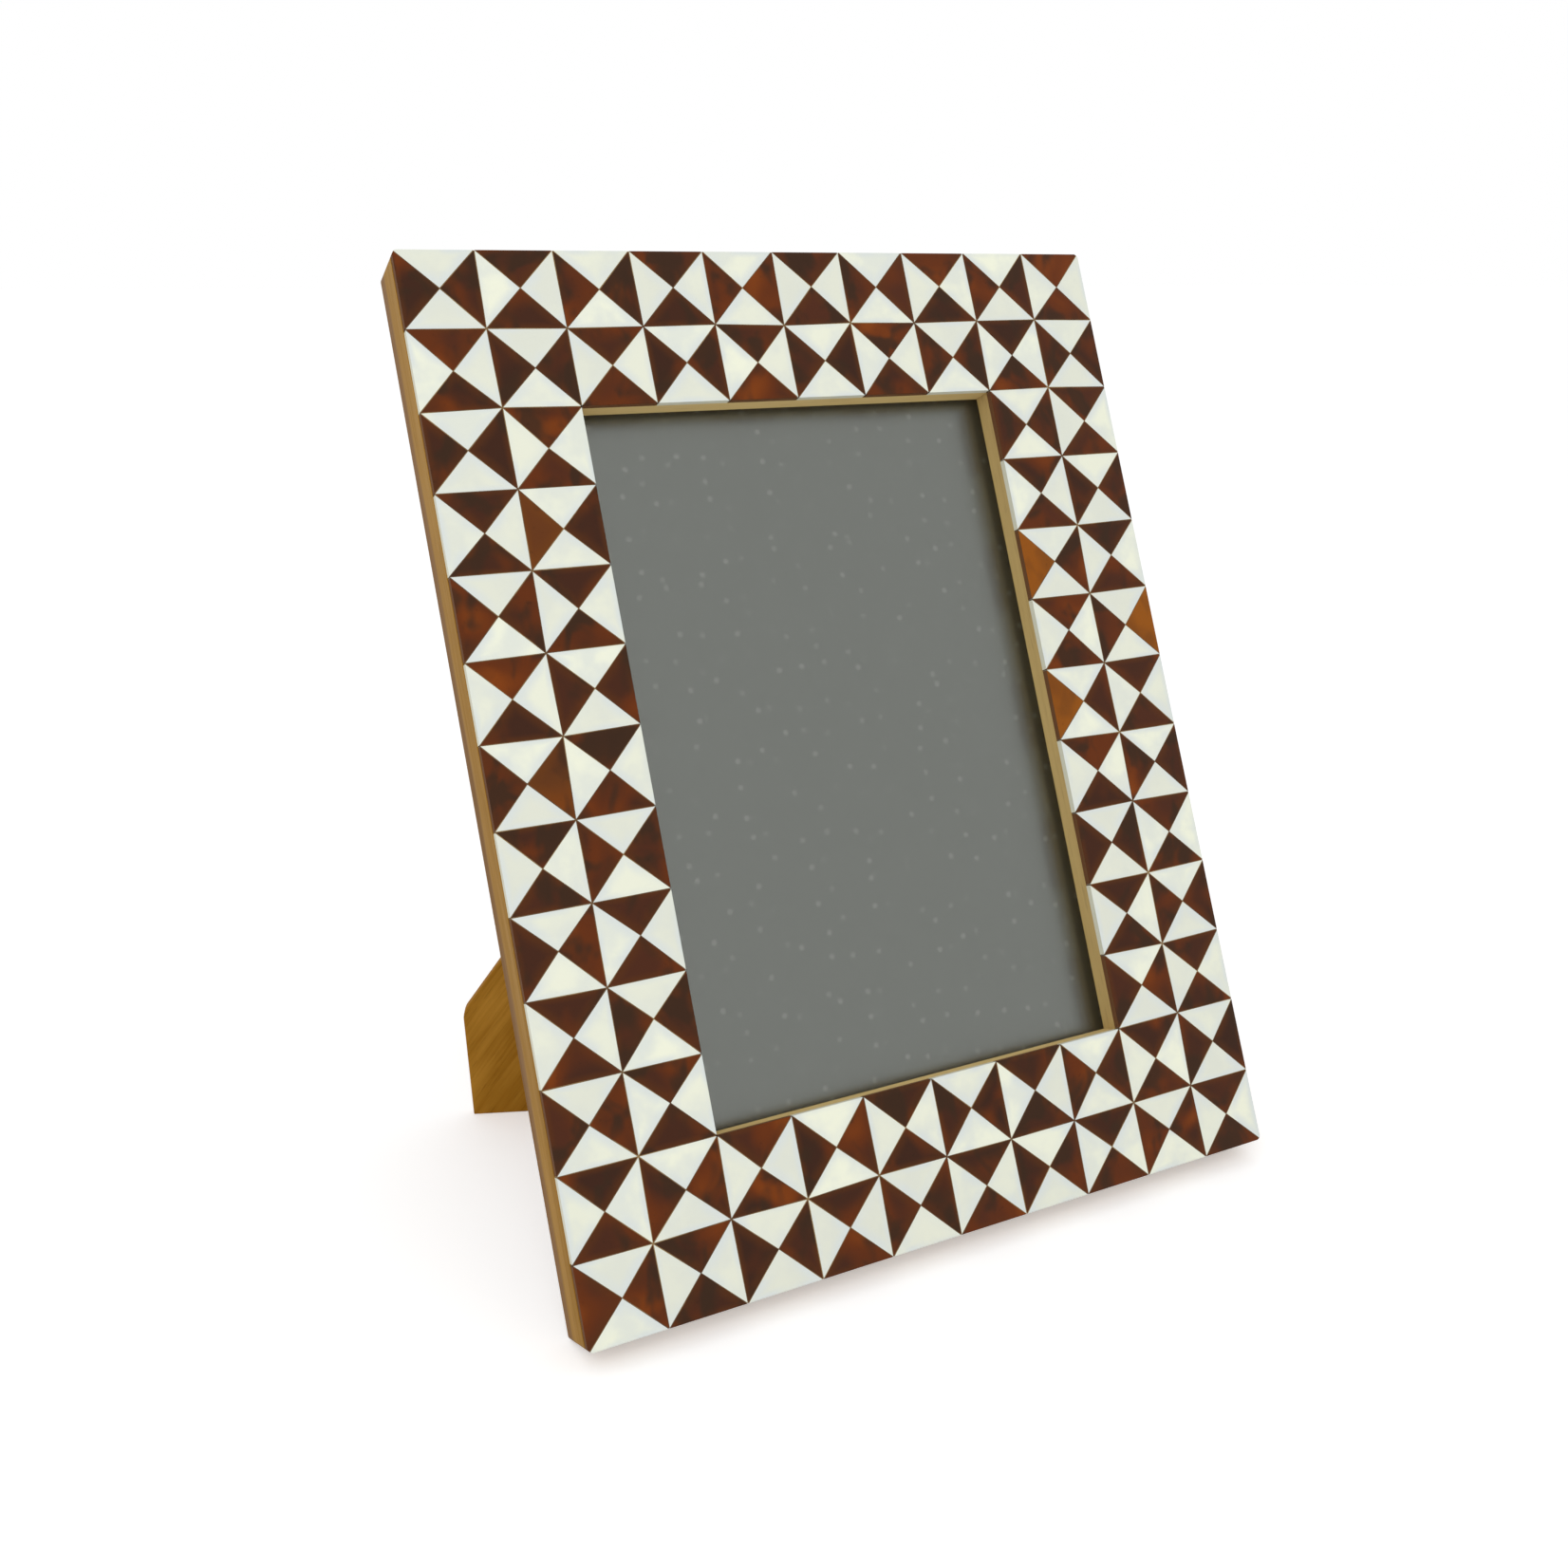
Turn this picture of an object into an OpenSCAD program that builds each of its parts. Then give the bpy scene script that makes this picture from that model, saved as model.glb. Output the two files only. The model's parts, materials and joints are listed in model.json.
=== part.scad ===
// Tabletop picture frame with a triangle inlay, standing on a diagonal easel strut.
// Every piece is drawn upright: x runs to the right, y from the face to the back, and z up
// the face from its bottom edge. lean_back() then tips the whole frame onto the table.

/* [Inlay] */
// Side of one square cell, which holds four triangular tiles
cell = 19.25; // [17:0.25:23]
// Cells across the whole frame
cells_across = 10; // [9:1:14]
// Cells up the whole frame
cells_up = 13; // [11:1:16]
// Cells across each band of the border
band_cells = 2; // [2:1:3]
// Thickness of a tile
tile_t = 1.5; // [1:0.1:2.5]
// Thickness of the filler bed under the tiles
bed_t = 0.3; // [0.2:0.05:0.8]
// Width of the joint between two tiles
joint_w = 0.35; // [0.2:0.05:0.8]

/* [Wooden frame] */
// Thickness of the frame from the face to the back
frame_t = 15; // [14:0.5:20]
// Depth of the wall round the opening, from the face to the glass
lip_depth = 6.8; // [5:0.1:8]
// Width of the rebate that holds the glass
rebate_w = 8; // [6:0.5:12]
// Radius of the outer corners of the frame
corner_r = 2; // [1:0.5:6]
// Radius along the rear outer edge, which the frame stands on
arris_r = 1; // [0.5:0.5:6]
// Length of each leg of a corner nail
nail_leg = 6; // [4:0.5:9]
// Thickness of the strip of a corner nail
nail_t = 0.5; // [0.3:0.1:1]
// Depth of a corner nail in the wood
nail_depth = 6; // [3:0.5:7]
// Distance of a corner nail from the outer corner, along both sides
nail_inset = 15; // [12:0.5:18]

/* [Glass and backing] */
// Thickness of the glass pane
glass_t = 2; // [1.5:0.1:3]
// Thickness of the picture insert
insert_t = 0.3; // [0.2:0.05:0.6]
// Thickness of the backing card
card_t = 1.1; // [0.6:0.1:2]
// Gap between the edges of the panes and the wall of the rebate
pane_gap = 0.5; // [0.3:0.1:1.5]
// How far the back panel lies below the back of the wood
panel_sink = 0.3; // [0.1:0.05:1]

/* [Turn buttons] */
// Width of a turn button
button_w = 7; // [5:0.5:9]
// Thickness of a turn button
button_t = 1; // [0.6:0.1:1.6]
// How far a turn button reaches over the back panel
button_lap = 4.5; // [3:0.5:7]
// Distance from the rebate to the screw of a turn button
button_set = 6; // [5:0.5:9]
// Distance of the upper and lower turn buttons from the middle of the frame
button_spread = 35; // [20:1:45]
// Air under a turn button
button_air = 0.15; // [0.1:0.05:0.4]
// Radius of the shank of a turn button screw
button_screw_r = 1.25; // [1:0.05:1.6]
// Radius of the head of a turn button screw
button_head_r = 2.6; // [2.2:0.1:3.2]
// Length of a turn button screw in the wood
button_bite = 5; // [3:0.5:7]

/* [Hinge] */
// Distance of the middle of the hinge from the middle of the frame
hinge_x = 1; // [-6:0.5:6]
// Height of the middle of the hinge up the face
hinge_z = 150; // [140:1:165]
// Length of the hinge along its pin
hinge_w = 30; // [26:1:34]
// Number of knuckles
knuckle_count = 5; // [3:2:7]
// Radius of a knuckle
knuckle_r = 1.7; // [1.5:0.1:2.2]
// Gap between two knuckles
knuckle_gap = 0.3; // [0.2:0.05:0.6]
// Air between the knuckles and the wood on both sides
knuckle_air = 0.2; // [0.1:0.05:0.5]
// Radius of the hinge pin
pin_r = 0.9; // [0.6:0.05:1]
// Running clearance round the hinge pin
pin_air = 0.05; // [0.02:0.01:0.1]
// Length of a hinge leaf from the pin
leaf_l = 14; // [13:0.5:18]
// Thickness of a hinge leaf
leaf_t = 0.9; // [0.7:0.1:1.2]
// Distance of the leaf screws from the pin
leaf_screw_x = 9.5; // [9:0.5:11]
// Distance of the leaf screws from the middle of the hinge
leaf_screw_y = 9; // [6:0.5:11]
// Radius of the shank of a leaf screw
leaf_screw_r = 1; // [0.7:0.05:1.2]
// Radius of the head of a leaf screw
leaf_head_r = 1.9; // [1.6:0.1:2.2]
// Wood left behind the point of a leaf screw
screw_skin = 1; // [0.5:0.1:1.5]

/* [Screws] */
// Height of a screw head
head_h = 0.8; // [0.5:0.05:1.2]
// Bevel round a screw head
head_bevel = 0.4; // [0.2:0.05:0.6]
// Width of the slot in a screw head
slot_w = 0.6; // [0.4:0.05:0.9]
// Depth of the slot in a screw head
slot_depth = 0.35; // [0.2:0.05:0.45]
// Clearance round the shank of a screw
screw_air = 0.05; // [0.02:0.01:0.1]
// Air between a screw head and the turn button under it
head_air = 0.1; // [0.05:0.05:0.3]

/* [Easel strut] */
// How far the frame leans back
lean = 24.5; // [18:0.5:28]
// Slant of the strut across the back, from upright
strut_slant = 40; // [34:0.5:46]
// How far the strut swings out from the back
strut_open = 33.5; // [28:0.5:38]
// Width of the strut
strut_w = 40; // [34:0.5:46]
// Thickness of the strut
strut_t = 3; // [2.5:0.5:8]
// Radius of the round corner at the side of the foot
foot_r = 6; // [2:0.5:9]
// How far the strut reaches past the pin, to its stop
heel_l = 5; // [4.5:0.1:6]
// Air between the heel of the open strut and the hinge leaf that stops it
stop_air = 0.3; // [0.2:0.05:0.6]

/* [Hidden] */
$fn = 64;

// Colours as seen in daylight
wood_colour = [0.66, 0.52, 0.30];
strut_colour = [0.55, 0.38, 0.13];
panel_colour = [0.50, 0.38, 0.26];
cream_colour = [0.93, 0.93, 0.86];
dark_colour = [0.34, 0.14, 0.07];
filler_colour = [0.38, 0.30, 0.20];
glass_colour = [0.75, 0.80, 0.80, 0.35];
insert_colour = [0.40, 0.42, 0.40];
card_colour = [0.72, 0.66, 0.54];
brass_colour = [0.78, 0.62, 0.32];
steel_colour = [0.62, 0.62, 0.60];

// Whole sizes of the frame and of its opening
frame_w = cells_across * cell;
frame_h = cells_up * cell;
band_w = band_cells * cell;
skin_t = tile_t + bed_t;
pane_w = frame_w - 2 * (band_w - rebate_w) - 2 * pane_gap;
pane_h = frame_h - 2 * (band_w - rebate_w) - 2 * pane_gap;

// Depths at which the layers behind the opening start
insert_y = lip_depth + glass_t;
card_y = insert_y + insert_t;
panel_y = card_y + card_t;
panel_back = frame_t - panel_sink;
panel_t = panel_back - panel_y;

// A cut runs this far past the face that it opens
over = 1;
// Larger than the whole frame, for planes that cut it
beyond = 2 * (frame_w + frame_h);

// Turn buttons: their screws stand on the wood, and they point at the panel
button_reach = button_set + button_lap;
button_side_x = frame_w / 2 - (band_w - rebate_w) + button_set;
button_low_z = band_w - rebate_w - button_set;
button_top_z = frame_h - button_low_z;
button_y = frame_t + button_air;
// Each place is x, z and the turn that points the button inwards
TOP_LEFT = [-button_spread, button_top_z, 90];
TOP_RIGHT = [button_spread, button_top_z, 90];
LEFT = [-button_side_x, frame_h / 2, 0];
RIGHT = [button_side_x, frame_h / 2, 180];
BOTTOM_LEFT = [-button_spread, button_low_z, -90];
BOTTOM_RIGHT = [button_spread, button_low_z, -90];
BUTTONS = [TOP_LEFT, TOP_RIGHT, LEFT, RIGHT, BOTTOM_LEFT, BOTTOM_RIGHT];

// Hinge: the pin's line lies this far off the wood on each side of it
seat = knuckle_r + knuckle_air;
pin_y = panel_back + seat;
knuckle_l = (hinge_w - (knuckle_count - 1) * knuckle_gap) / knuckle_count;
panel_screw_bite = panel_t - screw_skin;
strut_screw_bite = strut_t - screw_skin;

// The frame stands on its rounded rear edge, whose lowest line is at height 0
lift = (frame_t - arris_r) * sin(lean) - arris_r * cos(lean) + arris_r;

// A point of the open strut, given along it from the pin, along the pin and off the pin,
// in the axes of the upright frame
function strut_point(along, across, off) =
    let (down = along * cos(strut_open) - off * sin(strut_open),
         back = along * sin(strut_open) + off * cos(strut_open))
    [hinge_x - down * sin(strut_slant) - across * cos(strut_slant),
     pin_y + back,
     hinge_z - down * cos(strut_slant) + across * sin(strut_slant)];

// Height above the table, and distance to the back, of a point of the leaning frame
function height_of(p) = lift + p[2] * cos(lean) - p[1] * sin(lean);
function depth_of(p) = p[1] * cos(lean) + p[2] * sin(lean);

// How far along the strut it meets the table
function length_to_table(across, off) = height_of(strut_point(0, across, off))
    / (sin(strut_open) * sin(lean) + cos(strut_slant) * cos(strut_open) * cos(lean));

strut_l = length_to_table(0, seat);
tip = strut_point(strut_l, 0, seat);

// The other side of the tip is cut for the frame lying on its left side, which then stands
// on the rear left edge and on the front edge of that cut
side_edge = [arris_r - frame_w / 2, frame_t - arris_r];
tip_off_edge = [tip[0] - side_edge[0], tip[1] - side_edge[1]];
side_lean = atan2(tip_off_edge[0], tip_off_edge[1]) + asin(arris_r / norm(tip_off_edge));

// Distance of a point from that second table plane
function side_height(p) = (p[0] - side_edge[0]) * cos(side_lean)
    - (p[1] - side_edge[1]) * sin(side_lean) + arris_r;

// The corner where the strut's left side meets that cut, and how far the cut turns in there
corner_height = side_height(strut_point(0, strut_w / 2, seat));
foot_corner_x = corner_height / (corner_height - side_height(strut_point(1, strut_w / 2, seat)));
foot_turn = atan2(strut_w / 2, strut_l - foot_corner_x);

// Rear corners of the foot, on the table
strut_back = seat + strut_t;
function foot_point(across) = strut_point(length_to_table(across, strut_back), across, strut_back);
rear_l = length_to_table(0, strut_back);
rear_tip_across = (strut_l - rear_l) / (length_to_table(1, strut_back) - rear_l + 1 / tan(foot_turn));
front_y = joint_w / 2 * sin(lean);
rear_y = max(depth_of(foot_point(rear_tip_across)), depth_of(foot_point(-strut_w / 2)),
    (frame_t - arris_r) * cos(lean) + (frame_h - arris_r) * sin(lean) + arris_r);
middle_y = (front_y + rear_y) / 2;

// Tips the upright frame back on its rear edge, with the origin at the middle of its base
module lean_back() {
    translate([0, -middle_y, lift]) rotate([-lean, 0, 0]) children();
}

// A flat shape, drawn in x and z, given its thickness from y = start towards the back
module slab(start, thickness) {
    translate([0, start + thickness, 0]) rotate([90, 0, 0]) linear_extrude(thickness) children();
}

// Outline of the whole frame, with rounded corners
module frame_outline() {
    translate([-frame_w / 2 + corner_r, 0]) square([frame_w - 2 * corner_r, frame_h]);
    translate([-frame_w / 2, corner_r]) square([frame_w, frame_h - 2 * corner_r]);
    for (x = [corner_r - frame_w / 2, frame_w / 2 - corner_r], z = [corner_r, frame_h - corner_r])
        translate([x, z]) circle(corner_r);
}

// Places a rail that is drawn along the bottom edge at each side of the frame
module at_bottom() { children(); }
module at_top() { translate([0, 0, frame_h]) rotate([0, 180, 0]) children(); }
module at_left() { translate([-frame_w / 2, 0, frame_h / 2]) rotate([0, 90, 0]) children(); }
module at_right() { translate([frame_w / 2, 0, frame_h / 2]) rotate([0, -90, 0]) children(); }

// Section of a rail: x is the depth from the face, and y runs inwards from the outer edge
module rail_section() {
    difference() {
        union() {
            translate([skin_t, 0]) square([frame_t - arris_r - skin_t, band_w]);
            translate([skin_t, arris_r]) square([frame_t - skin_t, band_w - arris_r]);
            translate([frame_t - arris_r, arris_r]) circle(arris_r);
        }
        translate([lip_depth, band_w - rebate_w]) square([frame_t, rebate_w + over]);
    }
}

// A rail of the frame, mitred at both ends
module rail(length) {
    intersection() {
        translate([-length / 2, 0, 0]) rotate([90, 0, 90]) linear_extrude(length) rail_section();
        slab(0, frame_t) polygon([[-length / 2, 0], [length / 2, 0],
            [length / 2 - band_w, band_w], [band_w - length / 2, band_w]]);
    }
}

// Cuts that all four rails share: the round corners, the nails and the button screws
module finished_rail() {
    color(wood_colour) difference() {
        intersection() {
            children();
            slab(0, frame_t) frame_outline();
        }
        nails();
        for (place = BUTTONS)
            translate([place[0], frame_t, place[1]]) rotate([-90, 0, 0]) translate([0, 0, -button_bite])
                cylinder(h = button_bite + over, r = button_screw_r + screw_air);
    }
}

module top_rail() { lean_back() finished_rail() at_top() rail(frame_w); }
module bottom_rail() { lean_back() finished_rail() at_bottom() rail(frame_w); }
module left_stile() { lean_back() finished_rail() at_left() rail(frame_h); }
module right_stile() { lean_back() finished_rail() at_right() rail(frame_h); }

// A bent steel nail across each mitre, pressed in from the back
module nail() {
    slab(frame_t - nail_depth, nail_depth) difference() {
        square([nail_leg, nail_leg]);
        translate([nail_t, nail_t]) square([nail_leg, nail_leg]);
    }
}
module nails() {
    for (side = [-1, 1], up = [0, 1])
        mirror([side > 0 ? 1 : 0, 0, 0])
            translate([nail_inset - frame_w / 2, 0, up * frame_h]) mirror([0, 0, up])
                translate([0, 0, nail_inset]) nail();
}
module corner_nails() { lean_back() color(steel_colour) nails(); }

// The filler that the tiles are bedded in
module inlay_bed() {
    lean_back() color(filler_colour) slab(tile_t, bed_t) difference() {
        frame_outline();
        translate([band_w - frame_w / 2, band_w]) square([frame_w - 2 * band_w, frame_h - 2 * band_w]);
    }
}

// One tile: a right-angled triangle with its long side on the cell's lower edge, drawn in
// by half a joint all round, which is a scaling about its inner circle's centre
module tile_shape() {
    inner_r = cell * (sqrt(2) - 1) / 2;
    share = 1 - joint_w / 2 / inner_r;
    centre = [0, inner_r - cell / 2];
    corners = [[-cell / 2, -cell / 2], [cell / 2, -cell / 2], [0, 0]];
    polygon([for (corner = corners) centre + share * (corner - centre)]);
}

// The dark or cream tiles of a block of cells. The column counts from the left, the row
// from the top, and the quarter from the bottom of the cell round to its left.
module tiles(columns, rows, dark) {
    for (column = columns, row = rows, quarter = [0 : 3])
        if (((column + row + quarter) % 2 == 1) == dark)
            if ((column == 0 || column == cells_across - 1) && (row == 0 || row == cells_up - 1))
                intersection() {
                    tile(column, row, quarter);
                    slab(0, tile_t) frame_outline();
                }
            else tile(column, row, quarter);
}
module tile(column, row, quarter) {
    slab(0, tile_t)
        translate([(column + 0.5) * cell - frame_w / 2, frame_h - (row + 0.5) * cell])
            rotate(quarter * 90) tile_shape();
}

all_columns = [0 : cells_across - 1];
left_columns = [0 : band_cells - 1];
right_columns = [cells_across - band_cells : cells_across - 1];
top_rows = [0 : band_cells - 1];
middle_rows = [band_cells : cells_up - band_cells - 1];
bottom_rows = [cells_up - band_cells : cells_up - 1];

module cream(columns, rows) { lean_back() color(cream_colour) tiles(columns, rows, false); }
module dark(columns, rows) { lean_back() color(dark_colour) tiles(columns, rows, true); }
module top_cream_tiles() { cream(all_columns, top_rows); }
module top_dark_tiles() { dark(all_columns, top_rows); }
module bottom_cream_tiles() { cream(all_columns, bottom_rows); }
module bottom_dark_tiles() { dark(all_columns, bottom_rows); }
module left_cream_tiles() { cream(left_columns, middle_rows); }
module left_dark_tiles() { dark(left_columns, middle_rows); }
module right_cream_tiles() { cream(right_columns, middle_rows); }
module right_dark_tiles() { dark(right_columns, middle_rows); }

// A sheet that fills the rebate
module pane(start, thickness) {
    translate([-pane_w / 2, start, (frame_h - pane_h) / 2]) cube([pane_w, thickness, pane_h]);
}
module glass_pane() { lean_back() color(glass_colour) pane(lip_depth, glass_t); }
module picture_insert() { lean_back() color(insert_colour) pane(insert_y, insert_t); }
module backing_card() { lean_back() color(card_colour) pane(card_y, card_t); }
module back_panel() {
    lean_back() color(panel_colour) difference() {
        pane(panel_y, panel_t);
        at_pin() rotate([0, 180, 0]) leaf_screw_places()
            translate([0, 0, seat]) cylinder(h = panel_screw_bite, r = leaf_screw_r + screw_air);
    }
}

// Axes of the hinge with the strut folded: x down the strut, y along the pin, z to the back
module at_pin() {
    translate([hinge_x, pin_y, hinge_z]) rotate([-90, 0, 0]) rotate([0, 0, 90 + strut_slant]) children();
}
module at_open_strut() { at_pin() rotate([0, -strut_open, 0]) children(); }

// A leaf of the hinge, drawn for the strut: its plate lies on the wood at z = seat
module leaf_screw_places() {
    for (y = [-leaf_screw_y, leaf_screw_y]) translate([leaf_screw_x, y, 0]) children();
}
module knuckle(number, radius, extra) {
    translate([0, number * (knuckle_l + knuckle_gap) - hinge_w / 2 - extra, 0])
        rotate([-90, 0, 0]) cylinder(h = knuckle_l + 2 * extra, r = radius);
}
module leaf(first) {
    notch_r = seat + knuckle_air;
    difference() {
        union() {
            difference() {
                translate([0, -hinge_w / 2, seat - leaf_t]) cube([leaf_l, hinge_w, leaf_t]);
                for (number = [1 - first : 2 : knuckle_count - 1])
                    knuckle(number, notch_r, knuckle_gap);
            }
            for (number = [first : 2 : knuckle_count - 1]) knuckle(number, knuckle_r, 0);
        }
        translate([0, -hinge_w / 2 - over, 0]) rotate([-90, 0, 0])
            cylinder(h = hinge_w + 2 * over, r = pin_r + pin_air);
        leaf_screw_places() cylinder(h = seat + over, r = leaf_screw_r + screw_air);
    }
}

// A slotted screw that points down, with the underside of its head at z = 0
module screw(shank_r, shank_l, head_r) {
    translate([0, 0, -shank_l]) cylinder(h = shank_l, r = shank_r);
    difference() {
        union() {
            cylinder(h = head_h - head_bevel, r = head_r);
            translate([0, 0, head_h - head_bevel])
                cylinder(h = head_bevel, r1 = head_r, r2 = head_r - head_bevel);
        }
        translate([-head_r, -slot_w / 2, head_h - slot_depth]) cube([2 * head_r, slot_w, slot_depth + over]);
    }
}
module leaf_screws(bite) {
    leaf_screw_places() translate([0, 0, seat - leaf_t]) rotate([180, 0, 0])
        screw(leaf_screw_r, leaf_t + bite, leaf_head_r);
}

module hinge_fixed_leaf() { lean_back() color(brass_colour) at_pin() rotate([0, 180, 0]) leaf(0); }
module fixed_leaf_screws() {
    lean_back() color(brass_colour) at_pin() rotate([0, 180, 0]) leaf_screws(panel_screw_bite);
}
module hinge_moving_leaf() { lean_back() color(brass_colour) at_open_strut() leaf(1); }
module moving_leaf_screws() {
    lean_back() color(brass_colour) at_open_strut() leaf_screws(strut_screw_bite);
}
module hinge_pin() {
    lean_back() color(steel_colour) at_pin() translate([0, -hinge_w / 2, 0]) rotate([-90, 0, 0])
        cylinder(h = hinge_w, r = pin_r);
}

// What is cut away to round the corner at the side of the foot
module foot_rounding() {
    reach = foot_r * tan(foot_turn / 2);
    translate([foot_corner_x, strut_w / 2, seat - over])
        linear_extrude(strut_t + 2 * over) difference() {
            polygon([[-reach, -foot_r], [-reach, over], [over * tan(foot_turn / 2), over],
                [reach * cos(foot_turn) + over * sin(foot_turn),
                over * cos(foot_turn) - reach * sin(foot_turn)]]);
            translate([-reach, -foot_r]) circle(foot_r);
        }
}

// The strut: a flat board, sawn square to the slanting line of its side cut, bevelled at its
// foot to stand level, and at its heel, where it stops against the fixed leaf
module easel_strut() {
    lean_back() color(strut_colour) difference() {
        at_open_strut() translate([0, 0, seat]) linear_extrude(strut_t)
            polygon([[-heel_l, -strut_w / 2], [-heel_l, strut_w / 2], [foot_corner_x, strut_w / 2],
                [foot_corner_x + strut_w / tan(foot_turn), -strut_w / 2]]);
        at_open_strut() foot_rounding();
        at_open_strut() leaf_screw_places() translate([0, 0, seat - over])
            cylinder(h = strut_screw_bite + over, r = leaf_screw_r + screw_air);
        // the heel's stop
        at_pin() translate([-beyond / 2, -beyond / 2, leaf_t + stop_air - seat - beyond]) cube(beyond);
        // the table
        rotate([lean, 0, 0]) translate([-beyond / 2, -beyond / 2, -lift - beyond]) cube(beyond);
    }
}

// A turn button: a metal strip with round ends that turns on its screw
module turn_button(place) {
    lean_back() color(brass_colour) translate([place[0], 0, place[1]]) rotate([0, place[2], 0])
        slab(button_y, button_t) difference() {
            union() {
                circle(button_w / 2);
                translate([0, -button_w / 2]) square([button_reach - button_w / 2, button_w]);
                translate([button_reach - button_w / 2, 0]) circle(button_w / 2);
            }
            circle(button_screw_r + screw_air);
        }
}
module turn_button_top_left() { turn_button(TOP_LEFT); }
module turn_button_top_right() { turn_button(TOP_RIGHT); }
module turn_button_left() { turn_button(LEFT); }
module turn_button_right() { turn_button(RIGHT); }
module turn_button_bottom_left() { turn_button(BOTTOM_LEFT); }
module turn_button_bottom_right() { turn_button(BOTTOM_RIGHT); }
module turn_button_screws() {
    lean_back() color(brass_colour) for (place = BUTTONS)
        translate([place[0], button_y + button_t + head_air, place[1]]) rotate([-90, 0, 0])
            screw(button_screw_r, button_air + button_t + head_air + button_bite, button_head_r);
}

top_rail();
bottom_rail();
left_stile();
right_stile();
corner_nails();
inlay_bed();
top_cream_tiles();
top_dark_tiles();
bottom_cream_tiles();
bottom_dark_tiles();
left_cream_tiles();
left_dark_tiles();
right_cream_tiles();
right_dark_tiles();
glass_pane();
picture_insert();
backing_card();
back_panel();
hinge_fixed_leaf();
hinge_pin();
fixed_leaf_screws();
easel_strut();
hinge_moving_leaf();
moving_leaf_screws();
turn_button_top_left();
turn_button_top_right();
turn_button_left();
turn_button_right();
turn_button_bottom_left();
turn_button_bottom_right();
turn_button_screws();
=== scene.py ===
import json
import math
import random

import bmesh
import bpy
from mathutils import Matrix, Vector


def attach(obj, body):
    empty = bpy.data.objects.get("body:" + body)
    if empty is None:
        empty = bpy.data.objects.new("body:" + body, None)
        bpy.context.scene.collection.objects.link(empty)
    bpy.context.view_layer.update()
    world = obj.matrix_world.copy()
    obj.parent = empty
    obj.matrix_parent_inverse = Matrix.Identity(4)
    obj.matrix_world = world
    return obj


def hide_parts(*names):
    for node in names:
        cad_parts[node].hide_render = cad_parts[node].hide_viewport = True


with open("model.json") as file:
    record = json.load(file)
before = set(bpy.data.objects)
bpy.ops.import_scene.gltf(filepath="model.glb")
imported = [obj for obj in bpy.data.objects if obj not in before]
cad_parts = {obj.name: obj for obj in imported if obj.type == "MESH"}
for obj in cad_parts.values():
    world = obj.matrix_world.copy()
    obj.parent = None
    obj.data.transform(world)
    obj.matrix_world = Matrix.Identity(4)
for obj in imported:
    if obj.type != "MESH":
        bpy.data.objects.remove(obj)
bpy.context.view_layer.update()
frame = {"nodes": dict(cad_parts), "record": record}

# The four rails. Pale oiled hardwood, 15 mm thick and 38.5 mm wide, with a rebate behind
# for the glass. They are mitred and glued into one frame, its rear edge eased and its four
# corners rounded. Towards the rear the wood turns greyer and darker.
mm = 0.001
cell, across, up, band_cells = 19.25 * mm, 10, 13, 2
face_w, face_h, band_w = across * cell, up * cell, band_cells * cell
rail_front, rail_back = 1.8 * mm, 15 * mm
lip_depth, rebate_w = 6.8 * mm, 8 * mm
corner_r, corner_facets = 2 * mm, 12
arris_r, arris_steps = 1 * mm, 6
rail_edge, rear_from = 0.12 * mm, 10 * mm
lean = math.radians(24.5)
touching, on_plane = 0.002 * mm, 0.0001 * mm

aperture = next(m for m in frame["record"]["mounts"] if m["name"] == "photo_aperture")
leaning_back = Matrix.Rotation(-lean, 4, "X")
middle_of_pane = Vector((0, lip_depth, face_h / 2))
leaning_back.translation = Vector(aperture["pos_m"]) - leaning_back @ middle_of_pane
upright = leaning_back.inverted()


def close_up(shape):
    """Fills every opening that a cut has left."""
    bmesh.ops.holes_fill(shape, edges=[e for e in shape.edges if e.is_boundary], sides=0)


def slice_off(shape, point, outwards):
    """Cuts away what lies beyond a plane."""
    everything = shape.verts[:] + shape.edges[:] + shape.faces[:]
    bmesh.ops.bisect_plane(shape, geom=everything, dist=on_plane, plane_co=point,
                           plane_no=outwards, clear_outer=True)


def facet_angle(facet):
    """The way in which one facet of a rounded corner looks, from level round to upright."""
    return math.radians(90 / corner_facets * (facet + 0.5))


def pull(shape, faces, by):
    """Draws flat faces out into a solid, by a distance."""
    drawn = bmesh.ops.extrude_face_region(shape, geom=faces)["geom"]
    far_end = [v for v in drawn if isinstance(v, bmesh.types.BMVert)]
    bmesh.ops.translate(shape, verts=far_end, vec=by)
    close_up(shape)
    bmesh.ops.recalc_face_normals(shape, faces=shape.faces)


def ease(shape, edges, width, segments):
    """Rounds edges over."""
    bmesh.ops.bevel(shape, geom=edges, offset=width, offset_type="OFFSET", segments=segments,
                    profile=0.5, affect="EDGES", material=-1, clamp_overlap=True)


def sharp_edges(shape, degrees=35):
    """The edges at which two faces meet at more than an angle."""
    return [e for e in shape.edges
            if len(e.link_faces) == 2 and e.calc_face_angle() > math.radians(degrees)]


def piece_from(name, shape, material):
    """Makes a finished shape into a piece, smooth but for its sharp edges."""
    bmesh.ops.recalc_face_normals(shape, faces=shape.faces)
    mesh = bpy.data.meshes.new(name)
    shape.to_mesh(mesh)
    shape.free()
    mesh.polygons.foreach_set("use_smooth", [True] * len(mesh.polygons))
    mesh.set_sharp_from_angle(angle=math.radians(40))
    mesh.materials.append(material)
    piece = bpy.data.objects.new(name, mesh)
    bpy.context.scene.collection.objects.link(piece)
    evened = piece.modifiers.new("flat faces stay flat", "WEIGHTED_NORMAL")
    evened.keep_sharp = True
    return piece


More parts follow.
